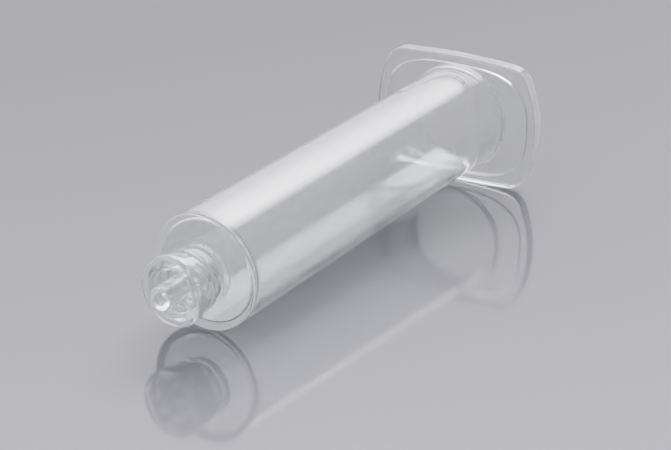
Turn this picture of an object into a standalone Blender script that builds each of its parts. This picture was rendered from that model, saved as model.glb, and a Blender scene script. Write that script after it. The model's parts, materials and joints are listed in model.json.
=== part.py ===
"""A clear 20 mL syringe barrel lying on a table.

It is a tube with a conical Luer nozzle, a threaded lock collar that turns on the
nozzle's hub, and a finger flange fixed over the tube's open end. Every piece is drawn
about the syringe's own axis: local +Z runs from nozzle to flange, with z = 0 on the
tube's front shoulder. One empty lays them all down along +Y, resting on the front rim
and on the flange's lower edge.
"""
from math import atan, atan2, cos, pi, radians, sin, sqrt

import bmesh
import bpy
from mathutils import Vector

MM = 0.001

# Tube and shoulder
TUBE_RADIUS = 10.2 * MM
BORE_RADIUS = 9.2 * MM
TUBE_END = 86.1 * MM           # open end of the tube, inside the flange
SHOULDER_WALL = 1.5 * MM
EDGE_ROUND = 0.4 * MM          # on the tube's front rim and round the flange alike
FLOOR_FILLET = 0.6 * MM

# Hub and nozzle, in front of the shoulder
BOSS_RADIUS = 5.15 * MM
BOSS_LENGTH = 1.3 * MM
NECK_RADIUS = 2.9 * MM         # groove that holds the collar's web
BEAD_RADIUS = 3.3 * MM
BEAD_BACK = 3.0 * MM
BEAD_FRONT = 4.1 * MM          # where the Luer cone starts
CONE_TIP_RADIUS = 1.97 * MM
CONE_TAPER = 0.06              # on the diameter
NOZZLE_LENGTH = 11.6 * MM
TIP_CHAMFER = 0.25 * MM
FLUID_RADIUS = 1.05 * MM

# Lock collar, measured forward from the shoulder
COLLAR_BACK = 1.5 * MM
WEB_FRONT = 2.8 * MM
WEB_HOLE_RADIUS = 3.0 * MM
COLLAR_REAR_RADIUS = 4.9 * MM
RING_RADIUS = 5.5 * MM
RING_BACK = 3.1 * MM
RING_FRONT = 4.5 * MM
WAIST_RADIUS = 5.2 * MM
LIP_RADIUS = 6.05 * MM
LIP_BACK = 7.1 * MM
COLLAR_FRONT = 8.8 * MM
COLLAR_BORE_RADIUS = 4.0 * MM
MOUTH_RADIUS = 4.35 * MM
SMALL_ROUND = 0.35 * MM
LIP_ROUND = 0.7 * MM

# Two-start lock thread inside the collar
THREAD_STARTS = 2
THREAD_LEAD = 5.0 * MM
THREAD_CREST_RADIUS = 3.5 * MM
THREAD_ROOT_WIDTH = 1.0 * MM
THREAD_CREST_WIDTH = 0.35 * MM
THREAD_EMBED = 0.15 * MM       # how far a ridge is sunk into the collar's wall
THREAD_BACK = 3.8 * MM
THREAD_FRONT = 8.0 * MM

# Finger flange
FLANGE_FRONT = 84.2 * MM
FLANGE_THICKNESS = 2.9 * MM
FLANGE_HALF_WIDTH = 17.6 * MM
FLANGE_HALF_HEIGHT = 12.9 * MM
SIDE_ARC_RADIUS = 24.0 * MM    # the short sides bow out on this radius
LONG_ARC_RADIUS = 150.0 * MM   # and the long sides on this one
CORNER_RADIUS = 4.2 * MM
POCKET_HALF_WIDTH = 15.7 * MM
POCKET_HALF_HEIGHT = 11.1 * MM
POCKET_POWER = 3.0             # exponent of the pocket's superellipse outline
POCKET_DEPTH = 1.6 * MM
SLEEVE_RADIUS = 10.65 * MM     # ring that stands in the pocket round the tube
LEAD_IN_RADIUS = 9.75 * MM     # mouth of the bore at the flange's back face

FIT_GAP = 0.1 * MM             # between the flange's socket and the tube
CUT_MARGIN = 1.0 * MM          # how far cutters run past what they cut

TUBE_SEGMENTS = 56
COLLAR_SEGMENTS = 40
ROUND_STEPS = 3
CLEAR_TINT = (0.90, 0.91, 0.93, 1.0)

FLANGE_BACK = FLANGE_FRONT + FLANGE_THICKNESS
# Front rim and flange have the same rounding, so the line under both is parallel to
# the line through the two rounding centres.
REST_PITCH = atan((FLANGE_HALF_HEIGHT - TUBE_RADIUS) / FLANGE_FRONT)


def clear_scene():
    for old in list(bpy.data.objects):
        bpy.data.objects.remove(old, do_unlink=True)


def make_collection(name):
    collection = bpy.data.collections.new(name)
    bpy.context.scene.collection.children.link(collection)
    return collection


def clear_plastic(name, tint, roughness):
    material = bpy.data.materials.new(name)
    material.use_nodes = True
    shader = material.node_tree.nodes["Principled BSDF"]
    shader.inputs["Base Color"].default_value = tint
    shader.inputs["Roughness"].default_value = roughness
    shader.inputs["Metallic"].default_value = 0.0
    shader.inputs["IOR"].default_value = 1.53
    shader.inputs["Transmission Weight"].default_value = 1.0
    return material


def arc(centre, radius, start, end, steps):
    """Points on a circle from one angle to another, both ends included."""
    turn = (end - start) / steps
    return [
        (centre[0] + radius * cos(start + turn * i), centre[1] + radius * sin(start + turn * i))
        for i in range(steps + 1)
    ]


def add_screw(obj, segments):
    screw = obj.modifiers.new("turn", "SCREW")
    screw.axis = "Z"
    screw.steps = segments
    screw.render_steps = segments
    screw.use_merge_vertices = True
    screw.merge_threshold = 0.000001
    screw.use_normal_calculate = False


def turned(name, profile, segments, collection):
    """A closed profile of (radius, z) points turned about the local Z axis."""
    mesh = bpy.data.meshes.new(name)
    shape = bmesh.new()
    verts = [shape.verts.new((radius, 0.0, z)) for radius, z in profile]
    for first, second in zip(verts, verts[1:] + verts[:1]):
        shape.edges.new((first, second))
    shape.to_mesh(mesh)
    shape.free()
    obj = bpy.data.objects.new(name, mesh)
    collection.objects.link(obj)
    add_screw(obj, segments)
    return obj


def curve_to_mesh(curve_object, name, collection):
    """Swap a curve object for a welded mesh object in the same place."""
    bpy.context.view_layer.update()
    graph = bpy.context.evaluated_depsgraph_get()
    mesh = bpy.data.meshes.new_from_object(curve_object.evaluated_get(graph))
    shape = bmesh.new()
    shape.from_mesh(mesh)
    bmesh.ops.remove_doubles(shape, verts=shape.verts, dist=0.000001)
    bmesh.ops.recalc_face_normals(shape, faces=shape.faces)
    shape.to_mesh(mesh)
    shape.free()
    obj = bpy.data.objects.new(name, mesh)
    obj.matrix_world = curve_object.matrix_world.copy()
    collection.objects.link(obj)
    bpy.data.objects.remove(curve_object, do_unlink=True)
    return obj


def slab(name, outlines, back, front, collection):
    """A flat outline, with any inner outlines as holes, from z = back to z = front."""
    curve = bpy.data.curves.new(name, "CURVE")
    curve.dimensions = "2D"
    curve.fill_mode = "BOTH"
    curve.extrude = abs(front - back) / 2
    for points in outlines:
        spline = curve.splines.new("POLY")
        spline.points.add(len(points) - 1)
        for point, (x, y) in zip(spline.points, points):
            point.co = (x, y, 0.0, 1.0)
        spline.use_cyclic_u = True
    flat = bpy.data.objects.new(name + "_outline", curve)
    flat.location.z = (front + back) / 2
    collection.objects.link(flat)
    return curve_to_mesh(flat, name, collection)


def mirrored_quarter(quarter):
    """A closed outline from a quarter that runs from the +X axis to the +Y axis."""
    upper = quarter + [(-x, y) for x, y in reversed(quarter[:-1])]
    return upper + [(x, -y) for x, y in reversed(upper[1:-1])]


def bowed_rectangle(half_width, half_height, side_radius, long_radius, corner_radius):
    """A rectangle whose four sides bow outwards, joined by tangent corner arcs."""
    side_centre = Vector((half_width - side_radius, 0.0))
    long_centre = Vector((0.0, half_height - long_radius))
    side_reach = side_radius - corner_radius
    long_reach = long_radius - corner_radius
    apart = long_centre - side_centre
    along = (side_reach**2 - long_reach**2 + apart.length_squared) / (2 * apart.length)
    across = sqrt(side_reach**2 - along**2)
    unit = apart.normalized()
    corner = side_centre + unit * along + Vector((-unit.y, unit.x)) * across
    side_end = atan2(corner.y, corner.x - side_centre.x)
    long_start = atan2(corner.y - long_centre.y, corner.x)
    quarter = arc(side_centre, side_radius, 0.0, side_end, 5)
    quarter += arc(corner, corner_radius, side_end, long_start, 6)[1:]
    quarter += arc(long_centre, long_radius, long_start, pi / 2, 4)[1:]
    return mirrored_quarter(quarter)


def superellipse(half_width, half_height, power, steps):
    quarter = []
    for i in range(steps + 1):
        angle = pi / 2 * i / steps
        across = max(cos(angle), 0.0) ** (2 / power)
        up = max(sin(angle), 0.0) ** (2 / power)
        quarter.append((half_width * across, half_height * up))
    quarter[-1] = (0.0, half_height)
    return mirrored_quarter(quarter)


def circle(radius, steps):
    return arc((0.0, 0.0), radius, 0.0, 2 * pi, steps)[:-1]


def boolean(obj, cutter, operation):
    modifier = obj.modifiers.new(cutter.name, "BOOLEAN")
    modifier.operation = operation
    modifier.solver = "EXACT"
    modifier.object = cutter
    cutter.hide_render = True
    cutter.display_type = "WIRE"


def rounded_corner(centre, radius, start, end):
    return arc(centre, radius, radians(start), radians(end), ROUND_STEPS)


def make_barrel(collection):
    cone_length = NOZZLE_LENGTH - BEAD_FRONT
    cone_base_radius = CONE_TIP_RADIUS + cone_length * CONE_TAPER / 2
    profile = [(TUBE_RADIUS, TUBE_END)]
    profile += rounded_corner((TUBE_RADIUS - EDGE_ROUND, EDGE_ROUND), EDGE_ROUND, 0, -90)
    profile += [
        (BOSS_RADIUS, 0.0),
        (BOSS_RADIUS, -BOSS_LENGTH),
        (NECK_RADIUS, -BOSS_LENGTH),
        (NECK_RADIUS, -BEAD_BACK),
        (BEAD_RADIUS, -BEAD_BACK),
        (cone_base_radius, -BEAD_FRONT),
        (CONE_TIP_RADIUS, -NOZZLE_LENGTH + TIP_CHAMFER),
        (CONE_TIP_RADIUS - TIP_CHAMFER, -NOZZLE_LENGTH),
        (FLUID_RADIUS, -NOZZLE_LENGTH),
        (FLUID_RADIUS, SHOULDER_WALL),
    ]
    fillet_centre = (BORE_RADIUS - FLOOR_FILLET, SHOULDER_WALL + FLOOR_FILLET)
    profile += rounded_corner(fillet_centre, FLOOR_FILLET, -90, 0)
    profile += [(BORE_RADIUS, TUBE_END)]
    return turned("barrel", profile, TUBE_SEGMENTS, collection)


def make_collar_body(collection):
    profile = [(COLLAR_REAR_RADIUS, -COLLAR_BACK), (COLLAR_REAR_RADIUS, -RING_BACK)]
    ring_centre_radius = RING_RADIUS - SMALL_ROUND
    profile += rounded_corner((ring_centre_radius, -RING_BACK - SMALL_ROUND), SMALL_ROUND, 90, 0)
    profile += rounded_corner((ring_centre_radius, -RING_FRONT + SMALL_ROUND), SMALL_ROUND, 0, -90)
    profile += [(WAIST_RADIUS, -RING_FRONT), (WAIST_RADIUS, -LIP_BACK)]
    lip_back_centre = (LIP_RADIUS - SMALL_ROUND, -LIP_BACK - SMALL_ROUND)
    lip_front_centre = (LIP_RADIUS - LIP_ROUND, -COLLAR_FRONT + LIP_ROUND)
    profile += rounded_corner(lip_back_centre, SMALL_ROUND, 90, 0)
    profile += rounded_corner(lip_front_centre, LIP_ROUND, 0, -90)
    mouth_depth = MOUTH_RADIUS - COLLAR_BORE_RADIUS
    profile += [
        (MOUTH_RADIUS, -COLLAR_FRONT),
        (COLLAR_BORE_RADIUS, -COLLAR_FRONT + mouth_depth),
        (COLLAR_BORE_RADIUS, -WEB_FRONT),
        (WEB_HOLE_RADIUS, -WEB_FRONT),
        (WEB_HOLE_RADIUS, -COLLAR_BACK),
    ]
    return turned("lock_collar", profile, COLLAR_SEGMENTS, collection)


def thread_section(collection):
    """The ridge's trapezoid: +X points from the wall towards the axis."""
    height = COLLAR_BORE_RADIUS - THREAD_CREST_RADIUS
    root = THREAD_ROOT_WIDTH / 2
    crest = THREAD_CREST_WIDTH / 2
    curve = bpy.data.curves.new("thread_section", "CURVE")
    curve.dimensions = "2D"
    spline = curve.splines.new("POLY")
    corners = [(-THREAD_EMBED, -root), (0.0, -root), (height, -crest), (height, crest), (0.0, root),
               (-THREAD_EMBED, root)]
    spline.points.add(len(corners) - 1)
    for point, (x, y) in zip(spline.points, corners):
        point.co = (x, y, 0.0, 1.0)
    spline.use_cyclic_u = True
    section = bpy.data.objects.new("thread_section", curve)
    collection.objects.link(section)
    return section


def make_thread_ridge(number, section, collection):
    """One start of the thread, faded out at both ends."""
    turns = (THREAD_FRONT - THREAD_BACK) / THREAD_LEAD
    steps = round(turns * COLLAR_SEGMENTS)
    fade_steps = 4
    first_angle = 2 * pi * number / THREAD_STARTS
    curve = bpy.data.curves.new("thread_ridge", "CURVE")
    curve.dimensions = "3D"
    curve.twist_mode = "Z_UP"
    curve.bevel_mode = "OBJECT"
    curve.bevel_object = section
    curve.use_fill_caps = True
    spline = curve.splines.new("POLY")
    spline.points.add(steps)
    for i, point in enumerate(spline.points):
        angle = first_angle - 2 * pi * turns * i / steps
        z = -THREAD_BACK - (THREAD_FRONT - THREAD_BACK) * i / steps
        point.co = (COLLAR_BORE_RADIUS * cos(angle), COLLAR_BORE_RADIUS * sin(angle), z, 1.0)
        point.radius = min(1.0, 0.4 + 0.6 * min(i, steps - i) / fade_steps)
    path = bpy.data.objects.new("thread_path", curve)
    collection.objects.link(path)
    return curve_to_mesh(path, "thread_ridge_%d" % (number + 1), collection)


def make_lock_collar(collection, cutters):
    collar = make_collar_body(collection)
    section = thread_section(cutters)
    ridges = [make_thread_ridge(number, section, cutters) for number in range(THREAD_STARTS)]
    bpy.data.objects.remove(section, do_unlink=True)
    for ridge in ridges:
        boolean(collar, ridge, "UNION")
    return collar, ridges


def make_socket_cutter(cutters):
    """The hole for the tube, and the bore's lead-in through the lip behind it."""
    socket_radius = TUBE_RADIUS + FIT_GAP
    socket_end = TUBE_END + FIT_GAP
    lip_bore = BORE_RADIUS + FIT_GAP / 2
    slope = (LEAD_IN_RADIUS - lip_bore) / (FLANGE_BACK - socket_end)
    profile = [
        (0.0, FLANGE_BACK + CUT_MARGIN),
        (LEAD_IN_RADIUS + slope * CUT_MARGIN, FLANGE_BACK + CUT_MARGIN),
        (lip_bore, socket_end),
        (socket_radius, socket_end),
        (socket_radius, FLANGE_FRONT - CUT_MARGIN),
        (0.0, FLANGE_FRONT - CUT_MARGIN),
    ]
    return turned("socket_cutter", profile, TUBE_SEGMENTS, cutters)


def make_finger_flange(collection, cutters):
    outline = bowed_rectangle(
        FLANGE_HALF_WIDTH, FLANGE_HALF_HEIGHT, SIDE_ARC_RADIUS, LONG_ARC_RADIUS, CORNER_RADIUS
    )
    flange = slab("finger_flange", [outline], FLANGE_BACK, FLANGE_FRONT, collection)
    rounding = flange.modifiers.new("edge_round", "BEVEL")
    rounding.width = EDGE_ROUND
    rounding.segments = ROUND_STEPS
    rounding.limit_method = "ANGLE"
    rounding.angle_limit = radians(60)
    pocket_outline = superellipse(POCKET_HALF_WIDTH, POCKET_HALF_HEIGHT, POCKET_POWER, 12)
    sleeve_outline = circle(SLEEVE_RADIUS, TUBE_SEGMENTS)
    pocket = slab(
        "pocket_cutter",
        [pocket_outline, sleeve_outline],
        FLANGE_FRONT + POCKET_DEPTH,
        FLANGE_FRONT - CUT_MARGIN,
        cutters,
    )
    socket = make_socket_cutter(cutters)
    boolean(flange, socket, "DIFFERENCE")
    boolean(flange, pocket, "DIFFERENCE")
    return flange, [socket, pocket]


def shade_smooth(obj):
    obj.data.shade_smooth()
    obj.data.set_sharp_from_angle(angle=radians(35))


def make_lying_frame(collection):
    """The syringe's axis laid along +Y, centred over the origin, lowest point at z = 0."""
    tip_y = -NOZZLE_LENGTH * cos(REST_PITCH) - (CONE_TIP_RADIUS - TIP_CHAMFER) * sin(REST_PITCH)
    back_centre = FLANGE_BACK - EDGE_ROUND
    lower_centre = FLANGE_HALF_HEIGHT - EDGE_ROUND
    back_y = back_centre * cos(REST_PITCH) + lower_centre * sin(REST_PITCH) + EDGE_ROUND
    rim_centre = TUBE_RADIUS - EDGE_ROUND
    frame = bpy.data.objects.new("lying_frame", None)
    frame.rotation_euler.x = REST_PITCH - pi / 2
    frame.location.y = -(tip_y + back_y) / 2
    frame.location.z = EDGE_ROUND + rim_centre * cos(REST_PITCH) - EDGE_ROUND * sin(REST_PITCH)
    collection.objects.link(frame)
    return frame


def main():
    clear_scene()
    parts = make_collection("luer_lock_syringe_barrel")
    cutters = make_collection("cutters")
    barrel = make_barrel(parts)
    collar, ridges = make_lock_collar(parts, cutters)
    flange, flange_cutters = make_finger_flange(parts, cutters)
    pieces = {
        barrel: clear_plastic("barrel_clear", CLEAR_TINT, 0.03),
        collar: clear_plastic("collar_clear", CLEAR_TINT, 0.05),
        flange: clear_plastic("flange_clear", CLEAR_TINT, 0.05),
    }
    frame = make_lying_frame(parts)
    for piece, material in pieces.items():
        piece.data.materials.append(material)
        shade_smooth(piece)
    for piece in [*pieces, *ridges, *flange_cutters]:
        piece.parent = frame


main()
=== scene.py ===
"""Looks for the clear syringe barrel: fine moulded pieces in water-clear plastic on a
glossy pale table, under one broad soft light.

The pieces are drawn in the syringe's own axes, as the CAD is: local +Z from nozzle to
flange, z = 0 on the shoulder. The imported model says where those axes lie.
"""

import json
from math import atan2, cos, pi, radians, sin, sqrt

import bmesh
import bpy
from mathutils import Matrix, Vector


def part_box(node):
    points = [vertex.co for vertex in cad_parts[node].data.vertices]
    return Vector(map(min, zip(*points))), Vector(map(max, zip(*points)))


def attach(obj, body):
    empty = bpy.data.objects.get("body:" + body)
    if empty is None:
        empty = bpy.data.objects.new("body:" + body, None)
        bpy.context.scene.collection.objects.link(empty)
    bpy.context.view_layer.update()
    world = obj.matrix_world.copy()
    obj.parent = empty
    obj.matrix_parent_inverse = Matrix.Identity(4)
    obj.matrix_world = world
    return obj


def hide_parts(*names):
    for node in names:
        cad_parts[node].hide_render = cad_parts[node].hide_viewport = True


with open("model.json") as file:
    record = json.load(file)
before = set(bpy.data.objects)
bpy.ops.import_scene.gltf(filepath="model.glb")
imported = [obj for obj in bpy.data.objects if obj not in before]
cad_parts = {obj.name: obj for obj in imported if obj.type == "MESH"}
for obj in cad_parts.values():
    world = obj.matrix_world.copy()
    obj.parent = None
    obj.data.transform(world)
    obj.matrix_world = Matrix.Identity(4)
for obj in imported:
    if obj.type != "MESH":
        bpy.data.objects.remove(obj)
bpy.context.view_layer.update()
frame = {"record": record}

MM = 0.001
record = frame["record"]
mounts = {mount["name"]: Vector(mount["pos_m"]) for mount in record["mounts"]}
spin = record["behaviour"]["joints"][0]
axis = Vector(spin["axis"]).normalized()
on_axis = Vector(spin["pos_m"])
shoulder = on_axis + axis * (mounts["shoulder_face"] - on_axis).dot(axis)


def along(point):
    """How far a point lies behind the shoulder, along the syringe's axis."""
    return (point - shoulder).dot(axis)


def half_width(node):
    low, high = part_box(node)
    return (high[0] - low[0]) / 2


# Tube and shoulder
TUBE_RADIUS = half_width("barrel")
FLANGE_BACK = along(mounts["flange_back_face"])
COLLAR_FRONT = -along(mounts["lock_collar_mouth"])
BORE_RADIUS = 9.2 * MM
TUBE_END = FLANGE_BACK - 1.0 * MM
SHOULDER_WALL = 1.5 * MM
EDGE_ROUND = 0.4 * MM
FLOOR_FILLET = 0.6 * MM

# Hub and nozzle
BOSS_RADIUS = 5.15 * MM
BOSS_LENGTH = 1.3 * MM
NECK_RADIUS = 2.9 * MM
BEAD_RADIUS = 3.3 * MM
BEAD_BACK = 3.0 * MM
BEAD_FRONT = 4.1 * MM
CONE_TIP_RADIUS = 1.97 * MM
CONE_TAPER = 0.06
NOZZLE_LENGTH = 11.6 * MM
FLUID_RADIUS = 1.05 * MM

# Lock collar
COLLAR_BACK = 1.5 * MM
WEB_FRONT = 2.8 * MM
WEB_HOLE_RADIUS = 3.0 * MM
COLLAR_REAR_RADIUS = 4.9 * MM
RING_RADIUS = 5.5 * MM
RING_BACK = 3.1 * MM
RING_FRONT = 4.5 * MM
WAIST_RADIUS = 5.2 * MM
LIP_RADIUS = half_width("lock_collar")
LIP_BACK = 7.1 * MM
COLLAR_BORE_RADIUS = 4.0 * MM
MOUTH_RADIUS = 4.35 * MM

# Lock thread
THREAD_STARTS = 2
THREAD_LEAD = 5.0 * MM
THREAD_HEIGHT = 0.5 * MM
THREAD_ROOT_WIDTH = 1.0 * MM
THREAD_CREST_WIDTH = 0.35 * MM
THREAD_BACK = 3.8 * MM
THREAD_FRONT = 8.0 * MM
THREAD_FADE = 0.35 * MM

# Finger flange
FLANGE_THICKNESS = 2.9 * MM
FLANGE_FRONT = FLANGE_BACK - FLANGE_THICKNESS
FLANGE_HALF_WIDTH = half_width("finger_flange")
FLANGE_HALF_HEIGHT = 12.9 * MM
SIDE_ARC_RADIUS = 24.0 * MM
LONG_ARC_RADIUS = 150.0 * MM
CORNER_RADIUS = 4.2 * MM
POCKET_HALF_WIDTH = 15.7 * MM
POCKET_HALF_HEIGHT = 11.1 * MM
POCKET_POWER = 3.0
POCKET_DEPTH = 1.6 * MM
POCKET_ROUND = 0.15 * MM
SLEEVE_RADIUS = 10.65 * MM
SOCKET_RADIUS = TUBE_RADIUS + 0.1 * MM
SOCKET_END = TUBE_END + 0.1 * MM
LIP_BORE_RADIUS = BORE_RADIUS + 0.05 * MM
LEAD_IN_RADIUS = 9.75 * MM

# Rounding of moulded corners
TIGHT = 0.05 * MM
CRISP = 0.1 * MM
SOFT = 0.2 * MM
WEB_ROUND = 0.08 * MM
RING_ROUND = 0.35 * MM
LIP_ROUND = 0.7 * MM
COLLAR_REAR_ROUND = 0.15 * MM
CONE_BASE_ROUND = 0.3 * MM
CONE_TIP_ROUND = 0.25 * MM
FLUID_TIP_ROUND = 0.12 * MM
FLUID_BACK_ROUND = 0.3 * MM

TURNS = 224                    # points round every ring of the fine meshes
ROUND_STEPS = 8
WALL_STEP = 0.06 * MM          # ring spacing along the threaded wall
SHARP_ANGLE = radians(40)

# Camera, aimed at a point given from the shoulder
CAMERA_AZIMUTH = radians(31.77)
CAMERA_ELEVATION = radians(22.26)
CAMERA_ROLL = radians(0.985)
CAMERA_DISTANCE = 0.3300
CAMERA_LENS = 98.8
CAMERA_SENSOR = 36.0
CAMERA_CLIP = 0.01
AIM_FROM_SHOULDER = Vector((0.86, 39.09, -4.64)) * MM

# Plastic: how clear each piece is, and how rough its haziest patches are
BARREL_CLARITY = 0.96
COLLAR_CLARITY = 0.88
FLANGE_CLARITY = 0.96
BARREL_HAZE = 0.22
COLLAR_HAZE = 0.2
FLANGE_HAZE = 0.12
TINT = (0.965, 0.975, 0.985, 1.0)
PLASTIC_IOR = 1.5
HAZE_STRETCH = (1.0, 0.2, 1.0)
HAZE_SCALE = 900.0
HAZE_DETAIL = 4.0
HAZE_RANGE = (0.35, 0.75)
FLOW_STRETCH = (1.0, 0.12, 1.0)
FLOW_SCALE = 160.0
FLOW_DETAIL = 1.0
RIPPLE = 0.02
RIPPLE_HEIGHT = 0.05 * MM

# Painted glow in place of light trapped in the plastic's walls
TRAPPED_PAINTED_GLOW = 0.35
PAINTED_GLOW_COLOUR = (1.0, 0.99, 1.02, 1.0)
LAST_BOUNCE = 11.5             # a path deeper than this has no bounce left
MIRROR_WEIGHT = 3.0            # mirrored bounces run out three times sooner than the rest

# Table
TABLE_SIZE = 4.0
# table colour: painted shade on the far side, painted light on the near side
TABLE_FAR_PAINTED_SHADE = (0.066, 0.065, 0.074, 1.0)
TABLE_NEAR_PAINTED_LIGHT = (0.163, 0.161, 0.182, 1.0)
PAINTED_LIGHT_SIDE = (0.85, -0.52, 0.0)
PAINTED_LIGHT_SPAN = (-0.15, 0.10)    # where the painted light starts and ends, towards that side
TABLE_DRIFT = 0.05
DRIFT_SCALE = 3.0
DRIFT_DETAIL = 2.0
GRAIN_SCALE = 250.0
GRAIN_DETAIL = 3.0
GRAIN_RANGE = (0.3, 0.7)
GRAIN_ROUGHNESS = (0.07, 0.1)
TABLE_IOR = 1.38
TABLE_POLISH = 0.62            # the polished share of the surface, the rest is matt
EVEN = (1.0, 1.0, 1.0)

# Light, by direction; levels are world strengths
BOX_EDGE = (radians(16), radians(-6))
BOX_START = (0.45, 0.65)
BOX_BASE = 0.2
BOX_LOW = 1.4
BOX_CLIMB = 7.3
BOX_TOP = 0.68
RIGHT_WALL = 0.5
CEILING_BASE = 1.3
NEAR_LIGHT = 1.4
NEAR_START = (0.2, -0.4)
LIGHT_COLOUR = (1.0, 0.99, 1.04, 1.0)


def laid_down():
    """The matrix that takes the syringe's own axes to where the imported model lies."""
    side = Vector((1.0, 0.0, 0.0))
    lower = axis.cross(side)
    turn = Matrix((side, lower, axis)).transposed()
    return Matrix.Translation(shoulder) @ turn.to_4x4()


def rounded_loop(corners):
    """A closed (radius, z) outline whose corners (radius, z, rounding) become arcs."""
    loop = []
    count = len(corners)
    for i, (radius, z, rounding) in enumerate(corners):
        here = Vector((radius, z))
        if rounding == 0.0:
            loop.append(here)
            continue
        before = (Vector(corners[i - 1][:2]) - here).normalized()
        after = (Vector(corners[(i + 1) % count][:2]) - here).normalized()
        half_angle = before.angle(after) / 2
        reach = rounding / sin(half_angle)
        centre = here + (before + after).normalized() * reach
        start = here + before * rounding * cos(half_angle) / sin(half_angle) - centre
        end = here + after * rounding * cos(half_angle) / sin(half_angle) - centre
        sweep = atan2(start.x * end.y - start.y * end.x, start.dot(end))
        for k in range(ROUND_STEPS + 1):
            angle = sweep * k / ROUND_STEPS
            turned = Vector((
                start.x * cos(angle) - start.y * sin(angle),
                start.x * sin(angle) + start.y * cos(angle),
            ))
            loop.append(centre + turned)
    return loop


def ring_angles():
    return [2 * pi * k / TURNS for k in range(TURNS)]


def circle_ring(radius, z):
    return [(radius * cos(a), radius * sin(a), z) for a in ring_angles()]


def loft(name, rings, node, body, material):
    """A closed skin over rings of equal count, the last joined to the first."""
    mesh = bpy.data.meshes.new(name)
    skin = bmesh.new()
    loops = [[skin.verts.new(point) for point in ring] for ring in rings]
    for lower, upper in zip(loops, loops[1:] + loops[:1]):
        for k in range(TURNS):
            after = (k + 1) % TURNS
            skin.faces.new((lower[k], lower[after], upper[after], upper[k]))
    bmesh.ops.recalc_face_normals(skin, faces=skin.faces)
    skin.to_mesh(mesh)
    skin.free()
    mesh.transform(laid_down())
    mesh.shade_smooth()
    mesh.set_sharp_from_angle(angle=SHARP_ANGLE)
    piece = bpy.data.objects.new(name, mesh)
    bpy.context.scene.collection.objects.link(piece)
    flat = piece.modifiers.new("flat_faces", "WEIGHTED_NORMAL")
    flat.keep_sharp = True
    mesh.materials.append(material)
    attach(piece, body)
    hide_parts(node)
    return piece


def make_barrel(material):
    cone_base_radius = CONE_TIP_RADIUS + (NOZZLE_LENGTH - BEAD_FRONT) * CONE_TAPER / 2
    corners = [
        (TUBE_RADIUS, TUBE_END, CRISP),
        (TUBE_RADIUS, 0.0, EDGE_ROUND),
        (BOSS_RADIUS, 0.0, SOFT),
        (BOSS_RADIUS, -BOSS_LENGTH, SOFT),
        (NECK_RADIUS, -BOSS_LENGTH, CRISP),
        (NECK_RADIUS, -BEAD_BACK, TIGHT),
        (BEAD_RADIUS, -BEAD_BACK, WEB_ROUND),
        (cone_base_radius, -BEAD_FRONT, CONE_BASE_ROUND),
        (CONE_TIP_RADIUS, -NOZZLE_LENGTH, CONE_TIP_ROUND),
        (FLUID_RADIUS, -NOZZLE_LENGTH, FLUID_TIP_ROUND),
        (FLUID_RADIUS, SHOULDER_WALL, FLUID_BACK_ROUND),
        (BORE_RADIUS, SHOULDER_WALL, FLOOR_FILLET),
        (BORE_RADIUS, TUBE_END, CRISP),
    ]
    rings = [circle_ring(point.x, point.y) for point in rounded_loop(corners)]
    barrel = loft("barrel_moulding", rings, "barrel", "syringe", material)


def thread_height(angle, z):
    """How far the thread stands in from the collar's wall at this place."""
    run = (z + THREAD_BACK) / THREAD_LEAD - angle / (2 * pi)
    spacing = 1 / THREAD_STARTS
    offset = abs((run + spacing / 2) % spacing - spacing / 2) * THREAD_LEAD
    flank = (THREAD_ROOT_WIDTH - THREAD_CREST_WIDTH) / 2
    rise = min(max((THREAD_ROOT_WIDTH / 2 - offset) / flank, 0.0), 1.0)
    back_fade = min(max((-THREAD_BACK - z) / THREAD_FADE, 0.0), 1.0)
    front_fade = min(max((z + THREAD_FRONT) / THREAD_FADE, 0.0), 1.0)
    rise = rise * rise * (3 - 2 * rise)
    return THREAD_HEIGHT * rise * back_fade * front_fade


def threaded_ring(z):
    ring = []
    for angle in ring_angles():
        radius = COLLAR_BORE_RADIUS - thread_height(angle, z)
        ring.append((radius * cos(angle), radius * sin(angle), z))
    return ring


def make_lock_collar(material):
    mouth_depth = MOUTH_RADIUS - COLLAR_BORE_RADIUS
    wall_front = -COLLAR_FRONT + mouth_depth
    corners = [
        (COLLAR_REAR_RADIUS, -COLLAR_BACK, COLLAR_REAR_ROUND),
        (COLLAR_REAR_RADIUS, -RING_BACK, CRISP),
        (RING_RADIUS, -RING_BACK, RING_ROUND),
        (RING_RADIUS, -RING_FRONT, RING_ROUND),
        (WAIST_RADIUS, -RING_FRONT, CRISP),
        (WAIST_RADIUS, -LIP_BACK, SOFT),
        (LIP_RADIUS, -LIP_BACK, RING_ROUND),
        (LIP_RADIUS, -COLLAR_FRONT, LIP_ROUND),
        (MOUTH_RADIUS, -COLLAR_FRONT, CRISP),
        (COLLAR_BORE_RADIUS, wall_front, 0.0),
        (COLLAR_BORE_RADIUS, -WEB_FRONT, 0.0),
        (WEB_HOLE_RADIUS, -WEB_FRONT, WEB_ROUND),
        (WEB_HOLE_RADIUS, -COLLAR_BACK, WEB_ROUND),
    ]
    rings = []
    for point in rounded_loop(corners):
        on_wall_front = abs(point.y - wall_front) < WALL_STEP / 100
        rings.append(circle_ring(point.x, point.y))
        if on_wall_front:
            steps = round((-WEB_FRONT - wall_front) / WALL_STEP)
            rise = (-WEB_FRONT - wall_front) / steps
            rings += [threaded_ring(wall_front + rise * k) for k in range(1, steps)]
    collar = loft("lock_collar_moulding", rings, "lock_collar", "collar", material)


def reach(direction, centre, radius):
    """Distance from the origin to a circle that holds it, along a unit direction."""
    ahead = direction.dot(centre)
    return ahead + sqrt(ahead**2 - centre.length_squared + radius**2)


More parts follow.
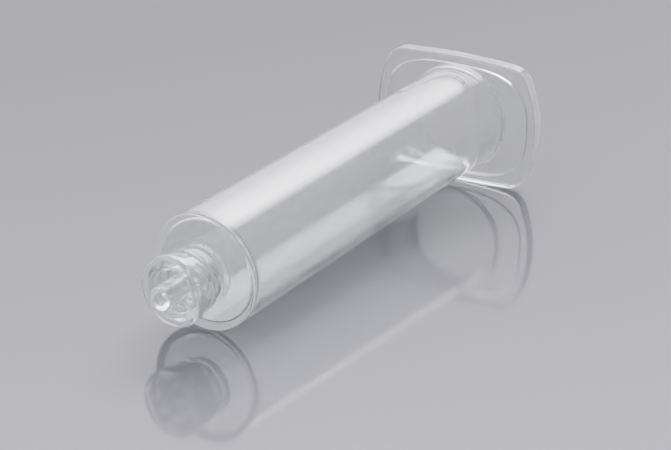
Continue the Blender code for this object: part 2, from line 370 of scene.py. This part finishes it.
def bowed_rectangle_ring(inset, z):
    """The flange's outline moved inwards: bowed sides joined by tangent corner arcs."""
    side_radius = SIDE_ARC_RADIUS - inset
    long_radius = LONG_ARC_RADIUS - inset
    corner_radius = CORNER_RADIUS - inset
    side_centre = Vector((FLANGE_HALF_WIDTH - SIDE_ARC_RADIUS, 0.0))
    long_centre = Vector((0.0, FLANGE_HALF_HEIGHT - LONG_ARC_RADIUS))
    side_gap = side_radius - corner_radius
    long_gap = long_radius - corner_radius
    apart = long_centre - side_centre
    ahead = (side_gap**2 - long_gap**2 + apart.length_squared) / (2 * apart.length)
    across = sqrt(side_gap**2 - ahead**2)
    unit = apart.normalized()
    corner = side_centre + unit * ahead + Vector((-unit.y, unit.x)) * across
    side_end = corner + (corner - side_centre).normalized() * corner_radius
    long_start = corner + (corner - long_centre).normalized() * corner_radius
    side_limit = atan2(side_end.y, side_end.x)
    long_limit = atan2(long_start.y, long_start.x)
    ring = []
    for angle in ring_angles():
        direction = Vector((cos(angle), sin(angle)))
        quarter = Vector((abs(direction.x), abs(direction.y)))
        slope = atan2(quarter.y, quarter.x)
        if slope < side_limit:
            distance = reach(quarter, side_centre, side_radius)
        elif slope > long_limit:
            distance = reach(quarter, long_centre, long_radius)
        else:
            distance = reach(quarter, corner, corner_radius)
        ring.append((direction.x * distance, direction.y * distance, z))
    return ring


def superellipse_ring(inset, z):
    ring = []
    for angle in ring_angles():
        x = abs(cos(angle)) / (POCKET_HALF_WIDTH - inset)
        y = abs(sin(angle)) / (POCKET_HALF_HEIGHT - inset)
        distance = (x**POCKET_POWER + y**POCKET_POWER) ** (-1 / POCKET_POWER)
        ring.append((cos(angle) * distance, sin(angle) * distance, z))
    return ring


def outer_edge_rings(z, facing, first, last):
    """Rings round an outer edge: the angle is 0 on the side wall, 90 degrees on the face."""
    rings = []
    for k in range(ROUND_STEPS + 1):
        angle = first + (last - first) * k / ROUND_STEPS
        inset = EDGE_ROUND * (1 - cos(angle))
        rings.append(bowed_rectangle_ring(inset, z - facing * EDGE_ROUND * (1 - sin(angle))))
    return rings


def make_finger_flange(material):
    face = pi / 2
    pocket_floor = FLANGE_FRONT + POCKET_DEPTH
    rings = [circle_ring(LEAD_IN_RADIUS, FLANGE_BACK)]
    rings += outer_edge_rings(FLANGE_BACK, 1, face, 0.0)
    rings += outer_edge_rings(FLANGE_FRONT, -1, 0.0, face)
    for k in range(ROUND_STEPS + 1):
        angle = face * k / ROUND_STEPS
        inset = -POCKET_ROUND * (1 - sin(angle))
        rings.append(superellipse_ring(inset, FLANGE_FRONT + POCKET_ROUND * (1 - cos(angle))))
    for k in range(ROUND_STEPS + 1):
        angle = face * k / ROUND_STEPS
        inset = POCKET_ROUND * (1 - cos(angle))
        rings.append(superellipse_ring(inset, pocket_floor - POCKET_ROUND * (1 - sin(angle))))
    sleeve = rounded_loop([
        (SLEEVE_RADIUS + 2 * POCKET_ROUND, pocket_floor, 0.0),
        (SLEEVE_RADIUS, pocket_floor, SOFT),
        (SLEEVE_RADIUS, FLANGE_FRONT, SOFT),
        (SOCKET_RADIUS, FLANGE_FRONT, CRISP),
        (SOCKET_RADIUS, SOCKET_END, TIGHT),
        (LIP_BORE_RADIUS, SOCKET_END, CRISP),
        (LEAD_IN_RADIUS, FLANGE_BACK, 0.0),
    ])
    # the first and last corners only give the roundings beside them their directions
    rings += [circle_ring(point.x, point.y) for point in sleeve[1:-1]]
    flange = loft("finger_flange_moulding", rings, "finger_flange", "syringe", material)


def new_material(name):
    material = bpy.data.materials.new(name)
    material.use_nodes = True
    return material, material.node_tree.nodes, material.node_tree.links


def mapped_noise(nodes, links, stretch, scale, detail):
    """Noise over the object's coordinates, which run with the world's here."""
    place = nodes.new("ShaderNodeTexCoord")
    mapping = nodes.new("ShaderNodeMapping")
    mapping.inputs["Scale"].default_value = stretch
    links.new(place.outputs["Object"], mapping.inputs["Vector"])
    noise = nodes.new("ShaderNodeTexNoise")
    noise.inputs["Scale"].default_value = scale
    noise.inputs["Detail"].default_value = detail
    links.new(mapping.outputs["Vector"], noise.inputs["Vector"])
    return noise


def remap(nodes, links, source, low, high, to_low, to_high):
    ramp = nodes.new("ShaderNodeMapRange")
    ramp.inputs["From Min"].default_value = low
    ramp.inputs["From Max"].default_value = high
    ramp.inputs["To Min"].default_value = to_low
    ramp.inputs["To Max"].default_value = to_high
    links.new(source, ramp.inputs["Value"])
    return ramp.outputs["Result"]


def calculate(nodes, links, operation, *operands):
    """A Math node; each operand is a socket or a number."""
    step = nodes.new("ShaderNodeMath")
    step.operation = operation
    for socket, operand in zip(step.inputs, operands):
        if isinstance(operand, float):
            socket.default_value = operand
        else:
            links.new(operand, socket)
    return step.outputs["Value"]


def clear_plastic(name, clarity, haze_roughness):
    """Water-clear moulded plastic: faint flow ripples along the part and fine handling haze.

    Light guided inside the walls runs out of bounces and would end black. Past the last
    bounce the plastic glows instead: a painted glow at the level such light has in a real wall.
    """
    material, nodes, links = new_material(name)
    shader = nodes["Principled BSDF"]
    shader.inputs["Base Color"].default_value = TINT
    shader.inputs["IOR"].default_value = PLASTIC_IOR
    shader.inputs["Transmission Weight"].default_value = clarity
    haze = mapped_noise(nodes, links, HAZE_STRETCH, HAZE_SCALE, HAZE_DETAIL)
    roughness = remap(nodes, links, haze.outputs["Fac"], *HAZE_RANGE, 0.0, haze_roughness)
    links.new(roughness, shader.inputs["Roughness"])
    flow = mapped_noise(nodes, links, FLOW_STRETCH, FLOW_SCALE, FLOW_DETAIL)
    bump = nodes.new("ShaderNodeBump")
    bump.inputs["Strength"].default_value = RIPPLE
    bump.inputs["Distance"].default_value = RIPPLE_HEIGHT
    links.new(flow.outputs["Fac"], bump.inputs["Height"])
    links.new(bump.outputs["Normal"], shader.inputs["Normal"])
    path = nodes.new("ShaderNodeLightPath")
    mirrored = calculate(nodes, links, "MULTIPLY", path.outputs["Glossy Depth"], MIRROR_WEIGHT)
    depth = calculate(nodes, links, "MAXIMUM", mirrored, path.outputs["Ray Depth"])
    trapped = calculate(nodes, links, "GREATER_THAN", depth, LAST_BOUNCE)
    # painted glow: the plastic emits light wherever a path has run out of bounces
    glow = calculate(nodes, links, "MULTIPLY", trapped, TRAPPED_PAINTED_GLOW)
    shader.inputs["Emission Color"].default_value = PAINTED_GLOW_COLOUR
    links.new(glow, shader.inputs["Emission Strength"])
    material.cycles.emission_sampling = "NONE"
    return material


def table_finish():
    """Pale grey board, painted lighter towards the lit side (painted light), with a slow drift of
    tone and faint grain.

    It is part polished, part matt.
    """
    material, nodes, links = new_material("table_gloss")
    polished = nodes["Principled BSDF"]
    matt = nodes.new("ShaderNodeBsdfPrincipled")
    matt.inputs["Specular IOR Level"].default_value = 0.0
    matt.inputs["Roughness"].default_value = 1.0
    place = nodes.new("ShaderNodeTexCoord")
    toward_painted_light = nodes.new("ShaderNodeVectorMath")
    toward_painted_light.operation = "DOT_PRODUCT"
    toward_painted_light.inputs[1].default_value = PAINTED_LIGHT_SIDE
    links.new(place.outputs["Object"], toward_painted_light.inputs[0])
    # painted light: the table's colour rises towards the lit side
    painted_light = remap(nodes, links, toward_painted_light.outputs["Value"], *PAINTED_LIGHT_SPAN, 0.0, 1.0)
    drift = mapped_noise(nodes, links, EVEN, DRIFT_SCALE, DRIFT_DETAIL)
    drift = calculate(nodes, links, "MULTIPLY", drift.outputs["Fac"], TABLE_DRIFT)
    painted_light_and_drift = calculate(nodes, links, "ADD", painted_light, drift)
    painted_light_tone = nodes.new("ShaderNodeMix")
    painted_light_tone.data_type = "RGBA"
    painted_light_tone.inputs["A"].default_value = TABLE_FAR_PAINTED_SHADE
    painted_light_tone.inputs["B"].default_value = TABLE_NEAR_PAINTED_LIGHT
    links.new(painted_light_and_drift, painted_light_tone.inputs["Factor"])
    grain = mapped_noise(nodes, links, EVEN, GRAIN_SCALE, GRAIN_DETAIL)
    roughness = remap(nodes, links, grain.outputs["Fac"], *GRAIN_RANGE, *GRAIN_ROUGHNESS)
    links.new(roughness, polished.inputs["Roughness"])
    polished.inputs["IOR"].default_value = TABLE_IOR
    for shader in (polished, matt):
        links.new(painted_light_tone.outputs["Result"], shader.inputs["Base Color"])
    finish = nodes.new("ShaderNodeMixShader")
    finish.inputs["Fac"].default_value = TABLE_POLISH
    links.new(matt.outputs["BSDF"], finish.inputs[1])
    links.new(polished.outputs["BSDF"], finish.inputs[2])
    links.new(finish.outputs["Shader"], nodes["Material Output"].inputs["Surface"])
    return material


def make_table():
    bpy.ops.mesh.primitive_plane_add(size=TABLE_SIZE)
    table = bpy.context.object
    table.name = "table"
    table.data.materials.append(table_finish())


def fade(nodes, links, source, start, end):
    """Rises smoothly from 0 at start to 1 at end."""
    step = nodes.new("ShaderNodeMapRange")
    step.interpolation_type = "SMOOTHSTEP"
    step.inputs["From Min"].default_value = start
    step.inputs["From Max"].default_value = end
    links.new(source, step.inputs["Value"])
    return step.outputs["Result"]


def make_soft_light():
    """A dim room, with one broad soft box hung over the far end and to the left.

    The box glows brighter the higher it hangs, and has a clean edge on the right. The near
    side of the room gives a low, even light.
    """
    world = bpy.data.worlds.new("soft_room")
    bpy.context.scene.world = world
    world.use_nodes = True
    nodes = world.node_tree.nodes
    links = world.node_tree.links
    background = nodes["Background"]
    place = nodes.new("ShaderNodeTexCoord")
    split = nodes.new("ShaderNodeSeparateXYZ")
    links.new(place.outputs["Generated"], split.inputs["Vector"])
    across, ahead, height = (split.outputs[name] for name in "XYZ")
    lean = calculate(nodes, links, "ARCTAN2", across, height)
    left = fade(nodes, links, lean, *BOX_EDGE)
    far = fade(nodes, links, ahead, *BOX_START)
    box = calculate(nodes, links, "MULTIPLY", left, far)
    climb = calculate(nodes, links, "MINIMUM", height, BOX_TOP)
    climb = calculate(nodes, links, "MULTIPLY", climb, BOX_CLIMB)
    glow = calculate(nodes, links, "EXPONENT", climb)
    glow = calculate(nodes, links, "MULTIPLY", glow, BOX_BASE)
    glow = calculate(nodes, links, "ADD", glow, BOX_LOW)
    ceiling = calculate(nodes, links, "ADD", height, CEILING_BASE)
    room = nodes.new("ShaderNodeMix")
    room.inputs["A"].default_value = RIGHT_WALL
    links.new(left, room.inputs["Factor"])
    links.new(ceiling, room.inputs["B"])
    light = nodes.new("ShaderNodeMix")
    links.new(box, light.inputs["Factor"])
    links.new(room.outputs["Result"], light.inputs["A"])
    links.new(glow, light.inputs["B"])
    background.inputs["Color"].default_value = LIGHT_COLOUR
    near = fade(nodes, links, ahead, *NEAR_START)
    near = calculate(nodes, links, "MULTIPLY", near, left)
    near = calculate(nodes, links, "MULTIPLY", near, NEAR_LIGHT)
    total = calculate(nodes, links, "ADD", light.outputs["Result"], near)
    links.new(total, background.inputs["Strength"])


def make_camera():
    back = Vector((
        sin(CAMERA_AZIMUTH) * cos(CAMERA_ELEVATION),
        -cos(CAMERA_AZIMUTH) * cos(CAMERA_ELEVATION),
        sin(CAMERA_ELEVATION),
    ))
    level = Vector((cos(CAMERA_AZIMUTH), sin(CAMERA_AZIMUTH), 0.0))
    upright = back.cross(level)
    right = level * cos(CAMERA_ROLL) + upright * sin(CAMERA_ROLL)
    up = upright * cos(CAMERA_ROLL) - level * sin(CAMERA_ROLL)
    data = bpy.data.cameras.new("camera")
    data.lens = CAMERA_LENS
    data.sensor_width = CAMERA_SENSOR
    data.clip_start = CAMERA_CLIP
    camera = bpy.data.objects.new("camera", data)
    bpy.context.scene.collection.objects.link(camera)
    place = shoulder + AIM_FROM_SHOULDER + back * CAMERA_DISTANCE
    camera.matrix_world = Matrix.Translation(place) @ Matrix((right, up, back)).transposed().to_4x4()
    bpy.context.scene.camera = camera


make_camera()
make_soft_light()
make_table()
make_barrel(clear_plastic("barrel_plastic", BARREL_CLARITY, BARREL_HAZE))
make_lock_collar(clear_plastic("collar_plastic", COLLAR_CLARITY, COLLAR_HAZE))
make_finger_flange(clear_plastic("flange_plastic", FLANGE_CLARITY, FLANGE_HAZE))
